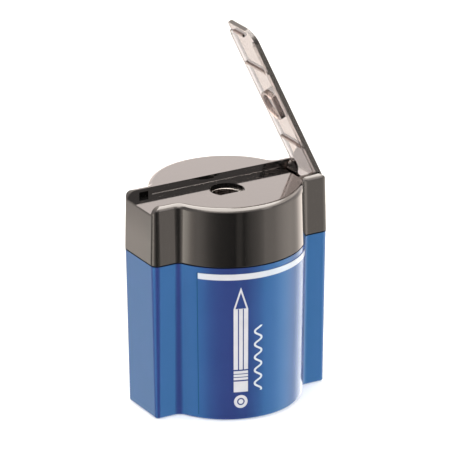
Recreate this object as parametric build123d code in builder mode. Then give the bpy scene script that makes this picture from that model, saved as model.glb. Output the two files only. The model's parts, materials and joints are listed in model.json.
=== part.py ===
# Pocket pencil sharpener: shavings tub, pull-off cap, wedge sharpener and hinged lid.
# Millimetres, +Z up, origin on the table at the middle of the tub's outline.
from build123d import *
import math
import os

os.makedirs("parts", exist_ok=True)

# --- outline shared by the tub and the cap, stated at the lower edge of the cap
barrel_r = 23.1
wing_reach = 29.3
wing_half = 9.5
corner_r = 2.1
junction_r = 2.0
corner_zone_x = 26.5
junction_zone_x = 15.0

# --- heights
seam_z = 48.2
deck_z = 63.7
top_z = 66.0
base_draft = 0.75
seam_step = 0.12
top_draft = 0.45

# --- tub
tub_wall = 1.5
tub_floor = 1.6
base_edge_r = 0.6
lip_r = 0.35

# --- label film on the front of the tub
label_span = 103.0
label_low_z = 1.4
label_high_z = 46.1
label_gap = 0.01
label_thick = 0.2

# --- cap
cap_wall = 1.8
skirt_edge_r = 0.2
deck_thick = 1.65
moon_skin = 1.8
moon_ledge_y = 9.0
channel_half = 7.0
rim_thick = 1.65
rim_edge_r = 1.55
wing_end_r = 3.0
recess_junction_r = 3.0
spigot_gap = 0.15
spigot_wall = 1.2
spigot_depth = 5.5
spigot_root = 1.0
hole_r = 5.15
hole_y = -0.6
hole_flat_y = -3.85
hole_edge = 0.3
notch_x = -23.4
notch_length = 3.0
notch_low_z = 63.85
notch_high_z = 65.0
notch_depth = 0.5

# --- hinge
hinge_x = 26.15
hinge_z = 63.0
pin_r = 1.0
pin_length = 1.05
socket_r = 1.05
socket_depth = 1.25
hinge_pocket_r = 3.25
pocket_deck = 1.8
wall_bite = 0.8

# --- lid, described closed and then swung open
lid_half = 6.8
lid_top_z = 65.9
lid_plate = 1.3
lid_free_x = -27.6
lid_front_corner_r = 4.0
lid_back_corner_r = 0.6
rail_wide = 0.9
rib_high = 0.7
rib_wide = 0.8
rib_free_x = -13.2
rib_hinge_x = 14.4
end_rib_inset = 1.6
ear_r = 2.75
ear_wide = 1.5
plug_gap = 0.3
plug_wall = 1.0
plug_high = 1.5
nub_length = 2.5
nub_proud = 0.13
nub_low_z = 64.1
nub_high_z = 64.8
lid_open = 64.5

# --- wedge sharpener
bore_y = 0.33
bore_r = 4.1
bore_straight = 4.0
tip_r = 0.5
cone_half_angle = 11.5
block_long = 22.5
block_back_y = 6.0
block_front_y = -6.2
block_land = 3.9
block_half_top = 7.5
block_half_low = 6.0
seat_bite = 0.25
relief_bite = 1.5
blade_wide = 6.0
blade_long = 17.5
blade_thick = 0.6
blade_start = 0.4
blade_corner = 1.0
screw_x = 3.9
screw_drop = 9.2
screw_r = 1.05
screw_hole_gap = 0.05
screw_long = 4.2
screw_head_r = 2.1
screw_head_high = 0.8
screw_slot_wide = 0.5
screw_slot_deep = 0.4

# --- seat for the wedge under the deck
seat_gap = 0.05
seat_wall = 1.2
seat_depth = 8.0
tongue_half = 3.0
hook_high = 0.9
hook_reach = 0.8

# --- derived positions
deck_under_z = deck_z - deck_thick
cone_top_z = deck_under_z - bore_straight
cone_slope = math.tan(math.radians(cone_half_angle))
cone_low_z = cone_top_z - (bore_r - tip_r) / cone_slope
block_low_z = deck_under_z - block_long
land_z = deck_under_z - block_land
hinge_floor_z = hinge_z - hinge_pocket_r
lid_under_z = lid_top_z - lid_plate
rib_low_z = lid_under_z - rib_high
far = 80.0


def plan(profile, grow):
    """Outline of the object: a round barrel with a bar across it."""
    Circle(barrel_r + grow)
    Rectangle(2 * (wing_reach + grow), 2 * (wing_half + grow))
    corners = profile.vertices().filter_by(lambda v: abs(v.X) > corner_zone_x + grow)
    fillet(corners, radius=max(corner_r + grow, 0.3))
    joins = profile.vertices().filter_by(
        lambda v: junction_zone_x < abs(v.X) < corner_zone_x + grow - corner_r
        and abs(abs(v.Y) - wing_half - grow) < 0.01
    )
    fillet(joins, radius=junction_r - grow)


def shell_band(low_z, low_grow, high_z, high_grow, mode):
    """Drafted solid of the shared outline between two heights."""
    with BuildSketch(Plane.XY.offset(low_z)) as low:
        plan(low, low_grow)
    with BuildSketch(Plane.XY.offset(high_z)) as high:
        plan(high, high_grow)
    return loft([low.sketch, high.sketch], ruled=True, mode=mode)


def cap_grow(z):
    return -top_draft * (z - seam_z) / (top_z - seam_z)


def tub_grow(z):
    return -seam_step - base_draft * (seam_z - z) / seam_z


def d_outline(r, y, flat_y):
    """Round opening with a straight front side."""
    with Locations((0, y)):
        Circle(r)
    with Locations((0, flat_y - r)):
        Rectangle(4 * r, 2 * r, mode=Mode.SUBTRACT)


# --- tub: open-topped shavings container
with BuildPart() as tub:
    shell_band(0, tub_grow(0), seam_z, tub_grow(seam_z), Mode.ADD)
    fillet(tub.faces().sort_by(Axis.Z)[0].edges(), radius=base_edge_r)
    shell_band(
        tub_floor,
        tub_grow(tub_floor) - tub_wall,
        seam_z,
        tub_grow(seam_z) - tub_wall,
        Mode.SUBTRACT,
    )
    fillet(tub.faces().sort_by(Axis.Z)[-1].outer_wire().edges(), radius=lip_r)
tub.part.label = "tub"
export_step(tub.part, "parts/tub.step")


# --- label: printed film round the front of the barrel
label_inner_low = barrel_r + tub_grow(label_low_z) + label_gap
label_inner_high = barrel_r + tub_grow(label_high_z) + label_gap
with BuildPart() as label:
    with BuildSketch(Plane.YZ):
        with BuildLine():
            Polyline(
                (-label_inner_low, label_low_z),
                (-label_inner_low - label_thick, label_low_z),
                (-label_inner_high - label_thick, label_high_z),
                (-label_inner_high, label_high_z),
                close=True,
            )
        make_face()
    revolve(axis=Axis.Z, revolution_arc=label_span)
label_film = label.part.rotate(Axis.Z, -label_span / 2)
label_film.label = "label"
export_step(label_film, "parts/label.step")


# --- cap: black moulding with deck, rims, spigot and the sharpener's seat
with BuildPart() as cap:
    shell_band(seam_z, 0, top_z, -top_draft, Mode.ADD)
    fillet(cap.faces().sort_by(Axis.Z)[-1].edges(), radius=rim_edge_r)
    fillet(cap.faces().sort_by(Axis.Z)[0].edges(), radius=skirt_edge_r)
    # wing ends rounded in elevation
    for side in (-1, 1):
        end_x = side * (wing_reach + cap_grow(top_z - wing_end_r))
        with BuildSketch(Plane.XZ) as end_round:
            with Locations((end_x, top_z)):
                Rectangle(2 * wing_end_r, 2 * wing_end_r)
            with Locations((end_x - side * wing_end_r, top_z - wing_end_r)):
                Circle(wing_end_r, mode=Mode.SUBTRACT)
            with Locations((end_x - side * wing_end_r, top_z - 2 * wing_end_r)):
                Rectangle(2 * wing_end_r, 2 * wing_end_r, mode=Mode.SUBTRACT)
        extrude(amount=far, both=True, mode=Mode.SUBTRACT)
    # spigot that enters the tub
    shell_band(
        seam_z - spigot_depth,
        tub_grow(seam_z - spigot_depth) - tub_wall - spigot_gap,
        seam_z,
        tub_grow(seam_z) - tub_wall - spigot_gap,
        Mode.ADD,
    )
    # hollow below the deck
    spigot_inner = -tub_wall - spigot_gap - spigot_wall
    root_inner = tub_grow(seam_z) + spigot_inner
    shell_band(
        seam_z - spigot_depth,
        tub_grow(seam_z - spigot_depth) + spigot_inner,
        seam_z + spigot_root,
        root_inner,
        Mode.SUBTRACT,
    )
    shell_band(
        seam_z + spigot_root,
        cap_grow(seam_z + spigot_root) - cap_wall,
        deck_under_z,
        cap_grow(deck_under_z) - cap_wall,
        Mode.SUBTRACT,
    )
    # recess for the lid, open at both wing ends and over the front of the deck
    with BuildSketch(Plane.XY.offset(deck_z)) as recess:
        Circle(barrel_r - top_draft - rim_thick)
        with Locations((0, channel_half + far / 2)):
            Rectangle(far, far, mode=Mode.SUBTRACT)
        Rectangle(far, 2 * channel_half)
        joins = recess.vertices().filter_by(
            lambda v: junction_zone_x < abs(v.X) < corner_zone_x and v.Y < 0
        )
        fillet(joins, radius=recess_junction_r)
    extrude(amount=far, mode=Mode.SUBTRACT)
    # hollow under the raised rear segment
    with BuildSketch(Plane.XY.offset(deck_under_z - 0.5)):
        Circle(barrel_r - top_draft - cap_wall)
        with Locations((0, moon_ledge_y - far / 2)):
            Rectangle(far, far, mode=Mode.SUBTRACT)
    extrude(amount=top_z - moon_skin - deck_under_z + 0.5, mode=Mode.SUBTRACT)
    # lowered deck and pocket for the lid's hinge ears
    pocket_left_x = hinge_x - hinge_pocket_r - pocket_deck
    pocket_right_x = wing_reach + cap_grow(deck_z) - 0.2
    with BuildSketch(Plane.XY.offset(hinge_floor_z - pocket_deck)):
        with Locations(((pocket_left_x + pocket_right_x) / 2, 0)):
            Rectangle(pocket_right_x - pocket_left_x, 2 * (channel_half + wall_bite))
    extrude(amount=deck_z - hinge_floor_z + pocket_deck)
    with BuildSketch(Plane.XZ):
        with Locations((hinge_x, hinge_z)):
            Circle(hinge_pocket_r)
        with Locations((hinge_x + far / 2, hinge_floor_z + far / 2)):
            Rectangle(far, far)
    extrude(amount=channel_half, both=True, mode=Mode.SUBTRACT)
    # sockets for the hinge pins
    with BuildSketch(Plane.XZ):
        with Locations((hinge_x, hinge_z)):
            Circle(socket_r)
    extrude(amount=channel_half + socket_depth, both=True, mode=Mode.SUBTRACT)
    # snap notches near the free end of the lid
    with BuildSketch(Plane.XY.offset(notch_low_z)):
        with Locations((notch_x, 0)):
            Rectangle(notch_length, 2 * (channel_half + notch_depth))
    extrude(amount=notch_high_z - notch_low_z, mode=Mode.SUBTRACT)
    # seat for the wedge sharpener: two cheeks, a front lip and a rear tongue with a hook
    cheek_y = (block_back_y + block_front_y) / 2
    cheek_long = block_back_y - block_front_y + 2 * (seat_gap + seat_wall)
    with BuildSketch(Plane.XY.offset(deck_under_z - seat_depth)):
        for side in (-1, 1):
            with Locations((side * (block_half_top + seat_gap + seat_wall / 2), cheek_y)):
                Rectangle(seat_wall, cheek_long)
    extrude(amount=seat_depth + 0.5)
    back_wall_y = block_back_y + seat_gap + seat_wall / 2
    with BuildSketch(Plane.XY.offset(deck_under_z - seat_depth)):
        with Locations((0, back_wall_y)):
            Rectangle(2 * (block_half_top + seat_gap + seat_wall), seat_wall)
    extrude(amount=seat_depth + 0.5)
    lip_depth = block_land - 0.3
    with BuildSketch(Plane.XY.offset(deck_under_z - lip_depth)):
        with Locations((0, block_front_y - seat_gap - seat_wall / 2)):
            Rectangle(2 * (block_half_top + seat_gap + seat_wall), seat_wall)
    extrude(amount=lip_depth + 0.5)
    tongue_low_z = block_low_z - seat_gap - hook_high
    with BuildSketch(Plane.XY.offset(tongue_low_z)):
        with Locations((0, back_wall_y)):
            Rectangle(2 * tongue_half, seat_wall)
    extrude(amount=deck_under_z - seat_depth - tongue_low_z + 0.5)
    with BuildSketch(Plane.YZ.offset(-tongue_half)):
        with BuildLine():
            Polyline(
                (block_back_y + seat_gap + 0.3, tongue_low_z),
                (block_back_y, tongue_low_z),
                (block_back_y - hook_reach, tongue_low_z + hook_high),
                (block_back_y + seat_gap + 0.3, tongue_low_z + hook_high),
                close=True,
            )
        make_face()
    extrude(amount=2 * tongue_half)
    # pencil opening
    with BuildSketch(Plane.XY.offset(deck_under_z - 0.2)):
        d_outline(hole_r, hole_y, hole_flat_y)
    extrude(amount=deck_thick + 1.0, mode=Mode.SUBTRACT)
cap.part.label = "cap"
export_step(cap.part, "parts/cap.step")


# --- sharpener block: metal wedge with the conical pencil bore
def seat_y(z, bite):
    """Front face of the wedge, lying a little inside the cone's front line."""
    cone_r = bore_r - (cone_top_z - z) * cone_slope
    return bore_y - cone_r + bite / math.cos(math.radians(cone_half_angle))


with BuildPart() as block:
    with BuildSketch(Plane.YZ):
        with BuildLine():
            Polyline(
                (block_back_y, block_low_z),
                (block_back_y, deck_under_z),
                (block_front_y, deck_under_z),
                (block_front_y, land_z),
                (seat_y(land_z, seat_bite), land_z),
                (seat_y(block_low_z, seat_bite), block_low_z),
                close=True,
            )
        make_face()
    extrude(amount=block_half_top, both=True)
    with BuildSketch(Plane.XZ):
        with BuildLine():
            Polyline(
                (-block_half_low, block_low_z),
                (block_half_low, block_low_z),
                (block_half_top, deck_under_z),
                (-block_half_top, deck_under_z),
                close=True,
            )
        make_face()
    extrude(amount=far, both=True, mode=Mode.INTERSECT)
    # relief where the shaving leaves, beside the cutting edge
    with BuildSketch(Plane.YZ):
        with BuildLine():
            Polyline(
                (seat_y(land_z, relief_bite), land_z),
                (seat_y(block_low_z, relief_bite), block_low_z),
                (seat_y(block_low_z, relief_bite) - far, block_low_z),
                (seat_y(land_z, relief_bite) - far, land_z),
                close=True,
            )
        make_face()
    extrude(amount=-far, mode=Mode.SUBTRACT)
    # straight entry, cone and tip hole
    with BuildSketch(Plane.XY.offset(cone_top_z)):
        with Locations((0, bore_y)):
            Circle(bore_r)
    extrude(amount=bore_straight, mode=Mode.SUBTRACT)
    with Locations((0, bore_y, (cone_top_z + cone_low_z) / 2)):
        Cone(tip_r, bore_r, cone_top_z - cone_low_z, mode=Mode.SUBTRACT)
    with BuildSketch(Plane.XY.offset(block_low_z)):
        with Locations((0, bore_y)):
            Circle(tip_r)
    extrude(amount=cone_low_z - block_low_z + 0.1, mode=Mode.SUBTRACT)
    # threaded hole for the blade's screw
    seat_plane = Plane(
        origin=(0, seat_y(land_z, seat_bite), land_z),
        x_dir=(1, 0, 0),
        z_dir=(0, -1, -cone_slope),
    )
    with BuildSketch(seat_plane):
        with Locations((screw_x, -screw_drop)):
            Circle(screw_r + screw_hole_gap)
    extrude(amount=-(screw_long + 0.4), mode=Mode.SUBTRACT)
block.part.label = "sharpener_block"
export_step(block.part, "parts/sharpener_block.step")


# --- blade: flat strip with a clipped corner and a screw hole
with BuildPart() as blade:
    with BuildSketch(seat_plane) as strip:
        with Locations((blade_wide / 2, -blade_start - blade_long / 2)):
            Rectangle(blade_wide, blade_long)
        outer = strip.vertices().filter_by(lambda v: v.X > blade_wide / 2)
        chamfer(outer, length=blade_corner)
        with Locations((screw_x, -screw_drop)):
            Circle(screw_r + 2 * screw_hole_gap, mode=Mode.SUBTRACT)
    extrude(amount=blade_thick)
blade.part.label = "blade"
export_step(blade.part, "parts/blade.step")


# --- blade screw
head_plane = seat_plane.offset(blade_thick)
with BuildPart() as screw:
    with BuildSketch(head_plane):
        with Locations((screw_x, -screw_drop)):
            Circle(screw_head_r)
    extrude(amount=screw_head_high)
    fillet(screw.edges().sort_by(lambda e: -seat_plane.to_local_coords(e.center()).Z)[0], radius=0.25)
    with BuildSketch(head_plane):
        with Locations((screw_x, -screw_drop)):
            Circle(screw_r)
    extrude(amount=-(blade_thick + screw_long))
    with BuildSketch(head_plane.offset(screw_head_high)):
        with Locations((screw_x, -screw_drop)):
            Rectangle(screw_slot_wide, 3 * screw_head_r)
    extrude(amount=-screw_slot_deep, mode=Mode.SUBTRACT)
screw.part.label = "blade_screw"
export_step(screw.part, "parts/blade_screw.step")


# --- lid: clear smoke plate with rails, ribs, plug ring and hinge ears
with BuildPart() as lid:
    with BuildSketch(Plane.XY.offset(lid_under_z)) as plate:
        with Locations(((hinge_x + lid_free_x) / 2, 0)):
            Rectangle(hinge_x - lid_free_x, 2 * lid_half)
        free = plate.vertices().filter_by(lambda v: v.X < 0)
        fillet(free.sort_by(Axis.Y)[0], radius=lid_front_corner_r)
        back = plate.vertices().filter_by(lambda v: v.X < 0 and v.Y > 0)
        fillet(back, radius=lid_back_corner_r)
    extrude(amount=lid_plate)
    # side rails, ribs and the end rib
    rail_start_x = lid_free_x + lid_front_corner_r
    rail_mid_y = lid_half - rail_wide / 2
    with BuildSketch(Plane.XY.offset(rib_low_z)):
        for side in (-1, 1):
            with Locations(((rail_start_x + hinge_x) / 2, side * rail_mid_y)):
                Rectangle(hinge_x - rail_start_x, rail_wide)
        for rib_x in (rib_free_x, rib_hinge_x):
            with Locations((rib_x, 0)):
                Rectangle(rib_wide, 2 * rail_mid_y)
        with Locations((lid_free_x + end_rib_inset + rib_wide / 2, 1.0)):
            Rectangle(rib_wide, 2 * (lid_half - lid_front_corner_r))
    extrude(amount=rib_high + 0.3)
    # plug ring that closes the pencil opening
    with BuildSketch(Plane.XY.offset(lid_under_z - plug_high)):
        d_outline(hole_r - plug_gap, hole_y, hole_flat_y + plug_gap)
    extrude(amount=plug_high + 0.3)
    with BuildSketch(Plane.XY.offset(lid_under_z - plug_high)):
        d_outline(hole_r - plug_gap - plug_wall, hole_y, hole_flat_y + plug_gap + plug_wall)
    extrude(amount=plug_high, mode=Mode.SUBTRACT)
    # rounded heel behind the hinge line
    with BuildSketch(Plane.XZ):
        with Locations((hinge_x, hinge_z)):
            Circle(ear_r)
            Circle(ear_r - lid_plate, mode=Mode.SUBTRACT)
        with Locations((hinge_x - far / 2, hinge_z)):
            Rectangle(far, far, mode=Mode.SUBTRACT)
        with Locations((hinge_x, hinge_z - far / 2)):
            Rectangle(far, far, mode=Mode.SUBTRACT)
    extrude(amount=lid_half, both=True)
    # hinge ears and stub pins
    for side in (-1, 1):
        with BuildSketch(Plane.XZ.offset(-side * lid_half)):
            with Locations((hinge_x, hinge_z)):
                Circle(ear_r)
        extrude(amount=side * ear_wide)
        with BuildSketch(Plane.XZ.offset(-side * lid_half)):
            with Locations((hinge_x, hinge_z)):
                Circle(pin_r)
        extrude(amount=-side * pin_length)
    # snap nubs on both long edges
    with BuildSketch(Plane.XY.offset(nub_low_z)):
        for side in (-1, 1):
            with Locations((notch_x, side * (lid_half + nub_proud - rail_wide / 2))):
                Rectangle(nub_length, rail_wide)
    extrude(amount=nub_high_z - nub_low_z)
hinge_axis = Axis((hinge_x, 0, hinge_z), (0, 1, 0))
lid_raised = lid.part.rotate(hinge_axis, lid_open)
lid_raised.label = "lid"
export_step(lid_raised, "parts/lid.step")
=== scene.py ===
import json
import math

import bmesh
import bpy
from mathutils import Matrix, Vector


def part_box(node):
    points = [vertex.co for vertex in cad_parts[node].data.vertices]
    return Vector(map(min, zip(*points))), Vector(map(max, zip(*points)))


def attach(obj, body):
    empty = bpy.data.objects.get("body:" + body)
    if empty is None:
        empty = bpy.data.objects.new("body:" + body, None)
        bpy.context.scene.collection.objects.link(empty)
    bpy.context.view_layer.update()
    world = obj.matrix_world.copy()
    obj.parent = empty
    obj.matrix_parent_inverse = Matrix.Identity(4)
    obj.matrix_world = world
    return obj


# A hand-held pencil sharpener on a tub: materials, small added parts, light and camera for the
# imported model.
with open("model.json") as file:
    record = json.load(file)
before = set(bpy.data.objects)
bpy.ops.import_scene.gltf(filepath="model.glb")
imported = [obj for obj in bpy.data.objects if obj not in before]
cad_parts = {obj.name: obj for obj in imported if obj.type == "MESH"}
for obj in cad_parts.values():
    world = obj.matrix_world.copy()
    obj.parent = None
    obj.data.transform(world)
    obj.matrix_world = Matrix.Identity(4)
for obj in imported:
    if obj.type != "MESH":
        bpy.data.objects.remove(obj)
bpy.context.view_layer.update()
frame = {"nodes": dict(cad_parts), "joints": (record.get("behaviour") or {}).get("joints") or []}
nodes = frame["nodes"]
MM = 0.001


# --- shader nodes -------------------------------------------------------------
def new_material(name):
    """A material with a Principled shader joined to its output."""
    mat = bpy.data.materials.new(name)
    mat.use_nodes = True
    tree = mat.node_tree
    tree.nodes.clear()
    out = tree.nodes.new("ShaderNodeOutputMaterial")
    shader = tree.nodes.new("ShaderNodeBsdfPrincipled")
    tree.links.new(shader.outputs["BSDF"], out.inputs["Surface"])
    return mat, tree, shader, out


def connect(tree, socket, value):
    """Joins a node's output to a socket, or sets the socket where value is a number or a colour."""
    if hasattr(value, "links"):
        tree.links.new(value, socket)
    else:
        socket.default_value = value


def coords(tree, scale=None):
    """Object coordinates, which are in metres, multiplied by scale where one is given."""
    place = tree.nodes.new("ShaderNodeTexCoord").outputs["Object"]
    if scale is None:
        return place
    mapping = tree.nodes.new("ShaderNodeMapping")
    mapping.inputs["Scale"].default_value = scale
    tree.links.new(place, mapping.inputs["Vector"])
    return mapping.outputs["Vector"]


def split(tree, vector):
    node = tree.nodes.new("ShaderNodeSeparateXYZ")
    tree.links.new(vector, node.inputs["Vector"])
    return node.outputs["X"], node.outputs["Y"], node.outputs["Z"]


def noise(tree, vector, scale, detail=3.0, rough=0.5):
    node = tree.nodes.new("ShaderNodeTexNoise")
    node.inputs["Scale"].default_value = scale
    node.inputs["Detail"].default_value = detail
    node.inputs["Roughness"].default_value = rough
    tree.links.new(vector, node.inputs["Vector"])
    return node.outputs["Fac"]


def ramp(tree, fac, stops):
    """The colour at fac along (position, colour) stops."""
    node = tree.nodes.new("ShaderNodeValToRGB")
    elements = node.color_ramp.elements
    while len(elements) < len(stops):
        elements.new(1.0)
    for element, (position, colour) in zip(elements, stops):
        element.position = position
        element.color = (*colour, 1)
    tree.links.new(fac, node.inputs["Fac"])
    return node.outputs["Color"]


def map_range(tree, value, from_low, from_high, to_low=0.0, to_high=1.0):
    node = tree.nodes.new("ShaderNodeMapRange")
    ends = {"From Min": from_low, "From Max": from_high, "To Min": to_low, "To Max": to_high}
    for socket, end in ends.items():
        node.inputs[socket].default_value = end
    tree.links.new(value, node.inputs["Value"])
    return node.outputs["Result"]


def maths(tree, operation, *values):
    node = tree.nodes.new("ShaderNodeMath")
    node.operation = operation
    for socket, value in zip(node.inputs, values):
        connect(tree, socket, value)
    return node.outputs["Value"]


def extreme(tree, operation, values):
    """The MINIMUM or MAXIMUM of any number of values."""
    result = values[0]
    for value in values[1:]:
        result = maths(tree, operation, result, value)
    return result


def away(tree, value, centre):
    return maths(tree, "ABSOLUTE", maths(tree, "SUBTRACT", value, centre))


def length(tree, x, y):
    squares = [maths(tree, "MULTIPLY", side, side) for side in (x, y)]
    return maths(tree, "SQRT", maths(tree, "ADD", *squares))


def bearing(tree, x, y):
    """Angle about the upright axis, in radians from the front, positive to the right."""
    return maths(tree, "ARCTAN2", x, maths(tree, "MULTIPLY", y, -1.0))


def mix_colour(tree, fac, first, second):
    node = tree.nodes.new("ShaderNodeMix")
    node.data_type = "RGBA"
    # a Mix node has sockets for each type of data: 6, 7 and output 2 are those for colours
    for index, value in ((0, fac), (6, first), (7, second)):
        connect(tree, node.inputs[index], value)
    return node.outputs[2]


def bump(tree, height, strength, distance, normal=None):
    node = tree.nodes.new("ShaderNodeBump")
    node.inputs["Strength"].default_value = strength
    node.inputs["Distance"].default_value = distance
    tree.links.new(height, node.inputs["Height"])
    if normal is not None:
        tree.links.new(normal, node.inputs["Normal"])
    return node.outputs["Normal"]


def assign(obj, mat):
    obj.data.materials.clear()
    obj.data.materials.append(mat)


# --- moulded plastic ----------------------------------------------------------
BLUE_DARK, BLUE = (0.031, 0.038, 0.160), (0.034, 0.042, 0.172)
BLUE_SHINE, BLUE_IOR = (0.03, 0.52, 0.97), 1.6


def clouded(tree, place, dark, base):
    """A colour that wanders faintly between two."""
    return ramp(tree, noise(tree, place, 60.0, 4.0), [(0.35, dark), (0.65, base)])


def smeared(tree, place, smooth, rough):
    """A roughness that wanders between two, as handling leaves it."""
    return map_range(tree, noise(tree, place, 180.0, 5.0, 0.6), 0.3, 0.7, smooth, rough)


def set_shine(shader, level, tint, ior):
    """Strength, colour and refractive index of a plastic's reflections."""
    shader.inputs["Specular IOR Level"].default_value = level
    shader.inputs["Specular Tint"].default_value = (*tint, 1)
    shader.inputs["IOR"].default_value = ior


def plastic(name, dark, base, smooth, rough, level=0.5, tint=(1, 1, 1), ior=1.5):
    mat, tree, shader, _ = new_material(name)
    place = coords(tree)
    tree.links.new(clouded(tree, place, dark, base), shader.inputs["Base Color"])
    tree.links.new(smeared(tree, place, smooth, rough), shader.inputs["Roughness"])
    orange_peel = noise(tree, place, 900.0, 2.0)
    tree.links.new(bump(tree, orange_peel, 0.015, 0.0001), shader.inputs["Normal"])
    set_shine(shader, level, tint, ior)
    return mat


black = plastic("black_gloss", (0.006, 0.0057, 0.0055), (0.0085, 0.008, 0.0075), 0.05, 0.09)
blue = plastic("blue_gloss", BLUE_DARK, BLUE, 0.12, 0.18, 1.0, BLUE_SHINE, BLUE_IOR)


# --- bare metal ---------------------------------------------------------------
def graphite(tree, place, metal, axis, bore, top):
    """The metal's colour, turned to streaky grey inside an upright bore below the height top."""
    x, y, z = split(tree, place)
    off_axis = length(tree, maths(tree, "SUBTRACT", x, axis[0]), maths(tree, "SUBTRACT", y, axis[1]))
    inside = map_range(tree, off_axis, bore, bore + 0.05 * MM, 1.0, 0.0)
    below = map_range(tree, z, top - 0.1 * MM, top, 1.0, 0.0)
    streaks = noise(tree, coords(tree, (900, 900, 60)), 1.0, 4.0)
    grey = ramp(tree, streaks, [(0.35, (0.05, 0.045, 0.042)), (0.65, (0.24, 0.21, 0.20))])
    return mix_colour(tree, maths(tree, "MULTIPLY", inside, below), metal, grey)


def machined(name, dull, bright, smooth, rough, mark_scale, bore=None):
    """Bare metal with fine tool marks. bore is the axis (x, y), radius and top of a stained bore."""
    mat, tree, shader, _ = new_material(name)
    place = coords(tree)
    colour = ramp(tree, noise(tree, place, 220.0, 4.0), [(0.3, dull), (0.7, bright)])
    if bore:
        colour = graphite(tree, place, colour, *bore)
    tree.links.new(colour, shader.inputs["Base Color"])
    marks = noise(tree, coords(tree, mark_scale), 1.0, 3.0, 0.6)
    tree.links.new(map_range(tree, marks, 0.3, 0.7, smooth, rough), shader.inputs["Roughness"])
    tree.links.new(bump(tree, marks, 0.12, 0.00003), shader.inputs["Normal"])
    shader.inputs["Metallic"].default_value = 1.0
    return mat


block_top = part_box("sharpener_block")[1][2]
bore_y, bore_r = 0.33 * MM, 4.1 * MM
cast = machined("block_metal", (0.60, 0.59, 0.57), (0.72, 0.71, 0.69), 0.24, 0.40, (300, 300, 6000),
                ((0.0, bore_y), bore_r + 0.05 * MM, block_top))
steel = machined("blade_steel", (0.52, 0.53, 0.55), (0.62, 0.63, 0.65), 0.14, 0.28, (7000, 400, 400))
screw_steel = machined("screw_steel", (0.42, 0.41, 0.39), (0.55, 0.54, 0.52), 0.22, 0.36, (2500, 2500, 2500))


# --- printed film -------------------------------------------------------------
def print_mask(tree, u, v):
    """1 on the film's white print, 0 off it. u runs round the barrel from its front and v up it, in
    millimetres. Each shape is worked out as a distance that is negative inside it."""

    def below(value, limit):
        return maths(tree, "SUBTRACT", value, limit)

    def above(value, limit):
        return maths(tree, "SUBTRACT", limit, value)

    def band(value, centre, half):
        return below(away(tree, value, centre), half)

    def between(value, low, high):
        return band(value, (low + high) / 2, (high - low) / 2)

    def any_of(*shapes):
        return extreme(tree, "MINIMUM", shapes)

    def all_of(*shapes):
        return extreme(tree, "MAXIMUM", shapes)

    def outside(shape):
        return maths(tree, "MULTIPLY", shape, -1.0)

    # band under the seam, which starts a little in from the film's left end
    stripe_v, stripe_half, stripe_start = 45.2, 0.9, -20.3
    stripe = all_of(band(v, stripe_v, stripe_half), above(u, stripe_start))

    # pencil, point up: its ferrule's rings, its edges and its bare wood are left blue
    pencil_u, half_width = -7.75, 2.15
    foot, ferrule_low, ferrule_high, shoulder, lead, point = 9.0, 12.6, 15.9, 35.2, 40.6, 42.0
    edge, ring, groove, outline_width = 0.17, 0.22, 0.12, 0.5
    side = away(tree, u, pencil_u)
    taper = maths(tree, "MULTIPLY", maths(tree, "SUBTRACT", point, v), half_width / (point - shoulder))
    outline = all_of(below(side, maths(tree, "MINIMUM", taper, half_width)), above(v, foot))
    wood = all_of(maths(tree, "ADD", outline, outline_width), above(v, shoulder + 0.1), below(v, lead))
    edges = all_of(band(side, half_width / 3, edge), between(v, ferrule_high, shoulder))
    rings = [band(v, height, ring) for height in (ferrule_low, ferrule_high)]
    grooves = [band(v, height, groove) for height in (13.7, 14.7)]
    pencil = all_of(outline, outside(any_of(*rings, *grooves, edges, wood)))

    # wavy line, of even width because its distance is measured square to the wave
    line_u, line_low, line_high, line_half = -2.45, 8.9, 29.5, 0.3
    wave_length, wave_reach = 4.1, 1.05
    phase = maths(tree, "MULTIPLY", v, 2 * math.pi / wave_length)
    wave = maths(tree, "MULTIPLY", maths(tree, "SINE", phase), wave_reach)
    slope = maths(tree, "MULTIPLY", maths(tree, "COSINE", phase), wave_reach * 2 * math.pi / wave_length)
    sideways = away(tree, maths(tree, "SUBTRACT", u, line_u), wave)
    off_line = maths(tree, "DIVIDE", sideways, length(tree, slope, 1.0))
    line = all_of(below(off_line, line_half), between(v, line_low, line_high))

    # round mark: a pencil seen from its end
    mark_v, mark_r, lead_ring_r, lead_ring_half = 5.95, 2.05, 0.95, 0.2
    radius = length(tree, maths(tree, "SUBTRACT", u, pencil_u), maths(tree, "SUBTRACT", v, mark_v))
    mark = all_of(below(radius, mark_r), outside(band(radius, lead_ring_r, lead_ring_half)))

    soft = 0.03
    return map_range(tree, any_of(stripe, pencil, line, mark), -soft, soft, 1.0, 0.0)


def label_material():
    mat, tree, shader, _ = new_material("label_print")
    place = coords(tree)
    x, y, z = split(tree, place)
    barrel_r, film_half, blur = 23.0, 20.4, 0.04
    u = maths(tree, "MULTIPLY", bearing(tree, x, y), barrel_r)
    v = maths(tree, "MULTIPLY", z, 1 / MM)
    mask = print_mask(tree, u, v)
    film = clouded(tree, place, BLUE_DARK, BLUE)
    # the film's cut ends are a little darker
    cut = map_range(tree, maths(tree, "ABSOLUTE", u), film_half - blur, film_half + blur)
    film = mix_colour(tree, cut, film, (0.010, 0.014, 0.06, 1))
    ink_tones = [(0.3, (0.62, 0.59, 0.59)), (0.7, (0.68, 0.645, 0.64))]
    white = ramp(tree, noise(tree, place, 300.0, 3.0), ink_tones)
    tree.links.new(mix_colour(tree, mask, film, white), shader.inputs["Base Color"])
    tree.links.new(smeared(tree, place, 0.16, 0.24), shader.inputs["Roughness"])
    grain = bump(tree, noise(tree, place, 1400.0, 2.0), 0.02, 0.0001)
    tree.links.new(bump(tree, mask, 0.25, 0.00002, grain), shader.inputs["Normal"])
    set_shine(shader, 1.0, BLUE_SHINE, BLUE_IOR)
    return mat


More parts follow.
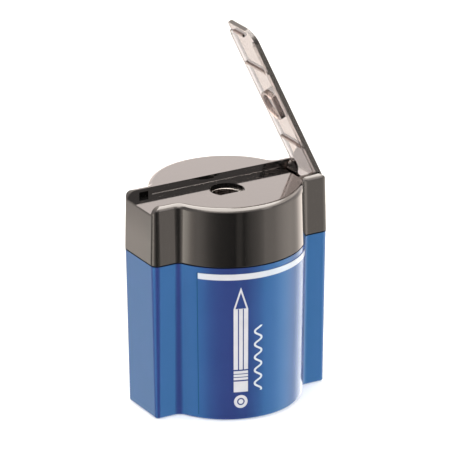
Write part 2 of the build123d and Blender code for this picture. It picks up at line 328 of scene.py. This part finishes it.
# --- clear smoke plastic ------------------------------------------------------
def lid_painted_shade(tree, place):
    """Painted shade on the clear lid: 1 on its ribs, less on its plug ring and round its free end, and 0
    elsewhere, darkening the plastic to stand for the dark reflections in their walls. They are found in the
    closed lid's frame, so the mask turns back about the hinge."""
    hinge = next(joint for joint in frame["joints"] if joint["name"] == "lid_hinge")
    hinge_x, _, hinge_z = hinge["pos_m"]
    lid_open = -math.radians(hinge["range_deg"][0])
    x, y, z = split(tree, place)
    dx = maths(tree, "SUBTRACT", x, hinge_x)
    dz = maths(tree, "SUBTRACT", z, hinge_z)

    def turned(share_x, share_z):
        return maths(tree, "ADD", maths(tree, "MULTIPLY", dx, share_x), maths(tree, "MULTIPLY", dz, share_z))

    along = turned(math.cos(lid_open), -math.sin(lid_open))
    through = turned(math.sin(lid_open), math.cos(lid_open))

    def up_to(value, limit, dark=1.0):
        """dark where the value is under the limit and 0 above it, with a thin soft edge."""
        return map_range(tree, value, limit, limit + 0.04 * MM, dark, 0.0)

    # middle along the closed lid, half width and painted shade of the three ribs and the plug ring
    mouldings = ((-13.2, 0.42, 1.0), (14.4, 0.42, 1.0), (-25.6, 0.42, 1.0), (0.0, 5.2, 0.85))
    near = [up_to(away(tree, along, middle * MM - hinge_x), half * MM, dark)
            for middle, half, dark in mouldings]
    within_rails = up_to(maths(tree, "ABSOLUTE", y), 5.86 * MM)
    under_plate = up_to(through, 1.54 * MM)
    ribs = maths(tree, "MULTIPLY", extreme(tree, "MAXIMUM", near), within_rails)
    ribs = maths(tree, "MULTIPLY", ribs, under_plate)

    # painted shade along the free end and its rounded front corner
    corner_x, corner_y, corner_r, end_shade = -23.6 * MM, -2.8 * MM, 4.0 * MM, 0.6
    past_x = maths(tree, "MINIMUM", maths(tree, "SUBTRACT", along, corner_x - hinge_x), 0.0)
    past_y = maths(tree, "MINIMUM", maths(tree, "SUBTRACT", y, corner_y), 0.0)
    reach = length(tree, past_x, past_y)
    end = map_range(tree, reach, corner_r - 0.06 * MM, corner_r - 0.02 * MM)
    end = maths(tree, "MULTIPLY", end, map_range(tree, past_x, -0.1 * MM, 0.0, 1.0, 0.0))
    return maths(tree, "MAXIMUM", ribs, maths(tree, "MULTIPLY", end, end_shade))


def smoke_material():
    mat, tree, shader, out = new_material("smoke_clear")
    shader.inputs["Transmission Weight"].default_value = 1.0
    shader.inputs["IOR"].default_value = 1.49
    place = coords(tree)
    haze = map_range(tree, noise(tree, place, 150.0, 4.0), 0.3, 0.7, 0.02, 0.05)
    tree.links.new(haze, shader.inputs["Roughness"])
    # the painted shade darkens the lid's colour on its ribs, plug ring and free end
    colour = mix_colour(tree, lid_painted_shade(tree, place), (1, 1, 1, 1), (0.30, 0.24, 0.23, 1))
    tree.links.new(colour, shader.inputs["Base Color"])
    absorption = tree.nodes.new("ShaderNodeVolumeAbsorption")
    absorption.inputs["Color"].default_value = (0.61, 0.56, 0.54, 1)
    absorption.inputs["Density"].default_value = 1250.0
    tree.links.new(absorption.outputs["Volume"], out.inputs["Volume"])
    return mat


assign(nodes["tub"], blue)
assign(nodes["label"], label_material())
assign(nodes["cap"], black)
assign(nodes["lid"], smoke_material())
assign(nodes["sharpener_block"], cast)
assign(nodes["blade"], steel)
assign(nodes["blade_screw"], screw_steel)


# --- meshes -------------------------------------------------------------------
def add_object(name, verts, faces):
    mesh = bpy.data.meshes.new(name)
    mesh.from_pydata(verts, [], faces)
    obj = bpy.data.objects.new(name, mesh)
    bpy.context.scene.collection.objects.link(obj)
    return obj


def solid(name, verts, faces):
    """A closed shell whose faces all look outwards."""
    obj = add_object(name, verts, faces)
    bm = bmesh.new()
    bm.from_mesh(obj.data)
    bmesh.ops.recalc_face_normals(bm, faces=bm.faces)
    bm.to_mesh(obj.data)
    bm.free()
    return obj


def skirt(first, second, count):
    """Faces between two rings of count points, which start at the points first and second."""
    steps = [(k, (k + 1) % count) for k in range(count)]
    return [(first + k, first + after, second + after, second + k) for k, after in steps]


def closed_loop(name, rings):
    """A smooth band closed both ways, from rings of points."""
    count = len(rings[0])
    verts = [point for ring in rings for point in ring]
    faces = []
    for i in range(len(rings)):
        faces += skirt(i * count, (i + 1) % len(rings) * count, count)
    obj = solid(name, verts, faces)
    for face in obj.data.polygons:
        face.use_smooth = True
    return obj


def arc(centre, radius, start, end, steps):
    """Points from the angle start to the angle end, both included."""
    angles = [start + (end - start) * i / steps for i in range(steps + 1)]
    return [(centre[0] + radius * math.cos(a), centre[1] + radius * math.sin(a)) for a in angles]


def circle(steps):
    """Evenly spaced angles all the way round."""
    return [2 * math.pi * i / steps for i in range(steps)]


# --- painted shade in the seam's gap ------------------------------------------
cap_high = Vector(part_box("cap")[1])
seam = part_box("tub")[1][2]
WING_HALF, WING_CORNER, JUNCTION = 9.5 * MM, 2.1 * MM, 2.0 * MM


def plan(grow):
    """Points round the object's outline at the cap's lower edge, moved out by grow: a barrel with a
    bar across it."""
    reach, half, barrel = cap_high.x + grow, WING_HALF + grow, cap_high.y + grow
    corner, junction = WING_CORNER + grow, JUNCTION - grow
    centre_x = math.sqrt((barrel + junction) ** 2 - (half + junction) ** 2)
    meet = math.atan2(half + junction, centre_x)
    right_angle = math.pi / 2
    quarter = [(reach, 0.0)]
    quarter += arc((reach - corner, half - corner), corner, 0.0, right_angle, 8)
    quarter += arc((centre_x, half + junction), junction, -right_angle, meet - math.pi, 8)
    quarter += arc((0.0, 0.0), barrel, meet, right_angle, 40)[1:-1]
    half_way = quarter + [(0.0, barrel)] + [(-x, y) for x, y in reversed(quarter)]
    return half_way + [(x, -y) for x, y in reversed(half_way[1:-1])]


# profile of a near-black bead that paints the shade in the seam's gap: millimetres out from the cap's outline
# and up from the seam
SEAM_SHADE_BEAD = [(-0.118, -0.36), (-0.08, -0.33), (-0.08, 0.1), (-0.5, 0.1), (-0.5, 0.01), (-0.36, 0.0),
        (-0.28, -0.045), (-0.215, -0.1), (-0.165, -0.17)]
levels = [[(x, y, seam + up * MM) for x, y in plan(out * MM)] for out, up in SEAM_SHADE_BEAD]
# near-black with no reflections, darker than the cap's own plastic: painted shade in the seam's gap
shoulder = closed_loop("cap_seam_shade", list(zip(*levels)))
assign(shoulder, plastic("seam_shade_black", (0.004, 0.005, 0.010), (0.005, 0.006, 0.014), 0.35, 0.5, 0.0))
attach(shoulder, "cap")

# --- rounded lip of the wedge's bore ------------------------------------------
lip_r, lip_sunk = 0.13 * MM, 0.02 * MM
section = [(bore_r + lip_r + lip_r * math.cos(a), block_top - lip_sunk + lip_r * math.sin(a))
           for a in circle(12)]
bore_lip = closed_loop("bore_lip", [[(r * math.cos(a), bore_y + r * math.sin(a), z) for r, z in section]
                                    for a in circle(96)])
lip_metal = machined("bore_lip_metal", (0.22, 0.21, 0.20), (0.30, 0.29, 0.28), 0.2, 0.34, (900, 900, 900))
assign(bore_lip, lip_metal)
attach(bore_lip, "cap")

# --- painted shade in the two catch notches -----------------------------------
DECK_Z, WALL_Y = 63.7 * MM, 7.0 * MM
NOTCH_X, NOTCH_HALF, NOTCH_DEPTH = -23.4 * MM, 1.5 * MM, 0.5 * MM
NOTCH_LOW, NOTCH_HIGH = 63.85 * MM, 65.0 * MM
GAP, SKIN, STRIP_PROUD = 0.01 * MM, 0.05 * MM, 0.015 * MM


def notch_ring(half, y, low, high):
    """Corners of an upright rectangle that lies along the notch's wall."""
    left, right = NOTCH_X - half, NOTCH_X + half
    return [(left, y, low), (right, y, low), (right, y, high), (left, y, high)]


def notch_shade_shell(name, side):
    """A thin closed shell of painted shade that is open towards the lid, with a strip below it down to the
    deck.
    """
    mouth, back = WALL_Y + GAP, WALL_Y + NOTCH_DEPTH - GAP
    verts = []
    for inset, y in ((GAP, mouth), (GAP, back), (GAP + SKIN, back - SKIN), (GAP + SKIN, mouth)):
        verts += notch_ring(NOTCH_HALF - inset, y, NOTCH_LOW + inset, NOTCH_HIGH - inset)
    # the two skins' backs, the outer and inner sides, and the rim that joins them at the mouth
    faces = [(4, 5, 6, 7), (8, 9, 10, 11)] + skirt(0, 4, 4) + skirt(8, 12, 4) + skirt(12, 0, 4)
    for y in (WALL_Y - STRIP_PROUD, WALL_Y + 2 * GAP):
        verts += notch_ring(NOTCH_HALF - GAP, y, DECK_Z + GAP / 2, NOTCH_LOW + 2 * GAP)
    faces += [(16, 17, 18, 19), (20, 21, 22, 23)] + skirt(16, 20, 4)
    return solid(name, [(x, side * y, z) for x, y, z in verts], faces)


# unreflecting near-black, darker than the cap: painted shade inside the notches and on the strip below them
notch_shade = plastic("notch_painted_shade", (0.004, 0.0038, 0.0036), (0.006, 0.0055, 0.005), 0.4, 0.5, 0.0)
for side, name in ((1, "notch_rear"), (-1, "notch_front")):
    shade_shell = notch_shade_shell(name, side)
    assign(shade_shell, notch_shade)
    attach(shade_shell, "cap")

# --- small radius where the recess's rear wall meets the deck -----------------
foot_r, foot_left, foot_right = 0.18 * MM, -20.6 * MM, 21.0 * MM
profile = [(GAP, -GAP), (-foot_r, -GAP)] + arc((-foot_r, foot_r), foot_r, -math.pi / 2, 0.0, 6)[1:]
profile += [(GAP, foot_r)]
count = len(profile)
verts = [(x, WALL_Y + dy, DECK_Z + dz) for x in (foot_left, foot_right) for dy, dz in profile]
faces = [tuple(range(count)), tuple(range(count, 2 * count))] + skirt(0, count, count)
foot = solid("wall_foot", verts, faces)
assign(foot, black)
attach(foot, "cap")

# --- floor --------------------------------------------------------------------
FLOOR_SIZE, FLOOR_Z = 6.0, -0.0002
bpy.ops.mesh.primitive_plane_add(size=FLOOR_SIZE, location=(0, 0, FLOOR_Z))
floor = bpy.context.object
floor.name = "floor"
pale, _, pale_shader, _ = new_material("floor_pale")
pale_shader.inputs["Base Color"].default_value = (0.92, 0.92, 0.92, 1)
pale_shader.inputs["Roughness"].default_value = 0.7
assign(floor, pale)
floor.visible_glossy = False

# --- studio light -------------------------------------------------------------
# radiance that glossy surfaces mirror, by azimuth in degrees from the front,
# positive to the right: below the horizon, low above it, and high above it
LOWER = [(-180, 1.5), (-158, 1.4), (-149, 1.4), (-142, 0.85), (-106, 0.8), (-96, 1.5), (-86, 1.9), (-70, 1.6),
         (-62, 1.15), (-55, 0.7), (-47, 0.40), (-40, 0.25), (-17, 0.08), (-13, 0.42), (-8, 0.42), (-4, 0.12),
         (4, 0.5), (11, 0.77), (19, 1.1), (25, 1.5), (29, 2.0), (45, 2.05), (54, 2.5), (64, 2.7),
         (76, 2.5), (89, 1.8), (97, 2.0), (105, 2.9), (125, 3.3), (140, 2.4), (180, 1.5)]
MIDDLE = [(-180, 1.8), (-150, 1.3), (-75, 1.3), (-60, 1.6), (-30, 1.8), (0, 1.7), (22, 1.8), (27, 4.2),
          (36, 4.2), (42, 1.8), (100, 1.9), (130, 2.7), (150, 2.8), (165, 2.7), (180, 1.8)]
HIGH = [(-180, 2.5), (-150, 1.5), (-125, 1.0), (-88, 1.4), (-75, 2.5), (-65, 4.5), (-55, 6.0), (-30, 6.5),
        (-18, 5.5), (-8, 4.0), (20, 3.8), (28, 4.5), (38, 6.5), (55, 6.5), (72, 5.5), (88, 4.5), (105, 4.5),
        (119, 4.5), (128, 3.0), (140, 2.2), (150, 2.7), (180, 2.5)]
WARM, MIDDLE_WARM = (1.13, 1.0, 0.90), (1.13, 1.0, 0.95)
# the overhead card, a cool spot that the tub's left end face mirrors, and the plain dome's two sides
TOP = (15.3, 14.04, 12.96)
COOL, COOL_AT = (1.12, 1.43, 1.27), -151
DOME_LEFT, DOME_RIGHT = 1.3, 0.75
# a world's ramp holds colours up to 1, so they are shares of this radiance
SKY_PEAK = 18.0


def share(radiance):
    return tuple(min(1.0, channel / SKY_PEAK) for channel in radiance)


def sine(degrees):
    return math.sin(math.radians(degrees))


def mirrored_sky(tree, direction):
    """What mirrored and refracted rays see: soft cards all round, one overhead and the cool spot."""
    x, y, z = direction
    azimuth = bearing(tree, x, y)
    turn = map_range(tree, azimuth, -math.pi, math.pi)

    def cards(stops, tint):
        return ramp(tree, turn, [((a + 180) / 360, share([c * level for c in tint])) for a, level in stops])

    def rise(low, high, *ends):
        """A change between two elevations in degrees, from 0 to 1 unless ends says otherwise."""
        return map_range(tree, z, sine(low), sine(high), *ends)

    # the cool spot fades out within 5 degrees to each side and between two elevations
    aside = away(tree, azimuth, math.radians(COOL_AT))
    spot = map_range(tree, aside, math.radians(2.5), math.radians(5), 1.0, 0.0)
    spot = maths(tree, "MULTIPLY", spot, rise(-19.5, -18.5, 1.0, 0.0))
    spot = maths(tree, "MULTIPLY", spot, rise(-28, -26.5))
    sky = mix_colour(tree, spot, cards(LOWER, WARM), (*share(COOL), 1))
    sky = mix_colour(tree, rise(0, 10), sky, cards(MIDDLE, MIDDLE_WARM))
    sky = mix_colour(tree, rise(19, 30), sky, cards(HIGH, WARM))
    return mix_colour(tree, rise(42, 52), sky, (*share(TOP), 1))


def studio_world():
    world = bpy.data.worlds.new("studio")
    world.use_nodes = True
    world.cycles.sampling_method = "NONE"
    tree = world.node_tree
    direction = split(tree, tree.nodes.new("ShaderNodeTexCoord").outputs["Generated"])
    dome = map_range(tree, direction[0], -0.7, 0.8, DOME_LEFT / SKY_PEAK, DOME_RIGHT / SKY_PEAK)
    path = tree.nodes.new("ShaderNodeLightPath")
    plain = maths(tree, "MAXIMUM", path.outputs["Is Diffuse Ray"], path.outputs["Is Camera Ray"])
    background = tree.nodes["Background"]
    tree.links.new(mix_colour(tree, plain, mirrored_sky(tree, direction), dome), background.inputs["Color"])
    background.inputs["Strength"].default_value = SKY_PEAK
    return world


bpy.context.scene.world = studio_world()

# patches that glow in mirrors only. They lie just under the floor, which mirrors don't show.
PATCH_Z = -0.001


def glowing_patch(name, verts, faces, across, stops, strength):
    """across(tree, x, y) is the place along the colour stops, from 0 to 1."""
    obj = add_object(name, verts, faces)
    mat, tree, _, out = new_material(name + "_light")
    x, y, _ = split(tree, coords(tree))
    glow = tree.nodes.new("ShaderNodeEmission")
    tree.links.new(ramp(tree, across(tree, x, y), stops), glow.inputs["Color"])
    glow.inputs["Strength"].default_value = strength
    tree.links.new(glow.outputs["Emission"], out.inputs["Surface"])
    assign(obj, mat)
    obj.visible_camera = False
    obj.visible_diffuse = False
    obj.visible_transmission = False
    obj.visible_shadow = False
    return obj


# far to the left: it lights the cap's left side and stays below the tub's line of sight
patch_from, patch_to, patch_steps = math.radians(-104), math.radians(-72), 24
patch_inner, patch_outer = 0.142, 0.40
verts = []
for i in range(patch_steps + 1):
    angle = patch_from + (patch_to - patch_from) * i / patch_steps
    verts += [(r * math.sin(angle), -r * math.cos(angle), PATCH_Z) for r in (patch_inner, patch_outer)]
faces = [(2 * i, 2 * i + 1, 2 * i + 3, 2 * i + 2) for i in range(patch_steps)]
patch = glowing_patch("patch", verts, faces,
                      lambda tree, x, y: map_range(tree, bearing(tree, x, y), patch_from, patch_to),
                      [(0.0, (0.2, 0.17, 0.15)), (0.25, (1, 0.91, 0.80)), (0.45, (1, 0.91, 0.80)),
                       (0.75, (0.48, 0.42, 0.37)), (1.0, (0.32, 0.28, 0.25))], 5.8)

# behind the left wing: only the cap's end face mirrors it
near_x, near_y = -0.0882, (0.093, 0.134)
far_x, far_y = -0.120, (0.150, 0.200)
corners = [(far_x, far_y[0]), (near_x, near_y[0]), (near_x, near_y[1]), (far_x, far_y[1])]
end_patch = glowing_patch("end_patch", [(x, y, PATCH_Z) for x, y in corners], [(0, 1, 2, 3)],
                          lambda tree, x, y: map_range(tree, x, far_x, near_x),
                          [(0.1, (0.75, 0.66, 0.60)), (0.55, (1.0, 0.89, 0.80)),
                           (1.0, (0.92, 0.81, 0.73))], 2.6)

# a sun for the floor alone keeps it white
floor_only = bpy.data.collections.new("floor_only")
floor_only.objects.link(floor)
sun_data = bpy.data.lights.new("floor_light", "SUN")
sun_data.energy = 1.0
sun = bpy.data.objects.new("floor_light", sun_data)
bpy.context.scene.collection.objects.link(sun)
sun.light_linking.receiver_collection = floor_only
sun.light_linking.blocker_collection = floor_only

# --- camera -------------------------------------------------------------------
camera_place = Vector((-0.5760113, -1.0080012, 0.5088814))
view_axis = Vector((0.46149274, 0.80815154, -0.36594472))
right = Vector((0.86767762, -0.49711427, -0.00359819))
up = Vector((0.18482423, 0.31586151, 0.93062963))
cam_data = bpy.data.cameras.new("camera")
cam_data.sensor_width = 36.0
cam_data.lens = 342.465
cam_data.clip_start, cam_data.clip_end = 0.01, 20.0
cam = bpy.data.objects.new("camera", cam_data)
bpy.context.scene.collection.objects.link(cam)
cam.matrix_world = Matrix.Translation(camera_place) @ Matrix((right, up, -view_axis)).transposed().to_4x4()
bpy.context.scene.camera = cam
bpy.context.scene.view_settings.view_transform = "Standard"
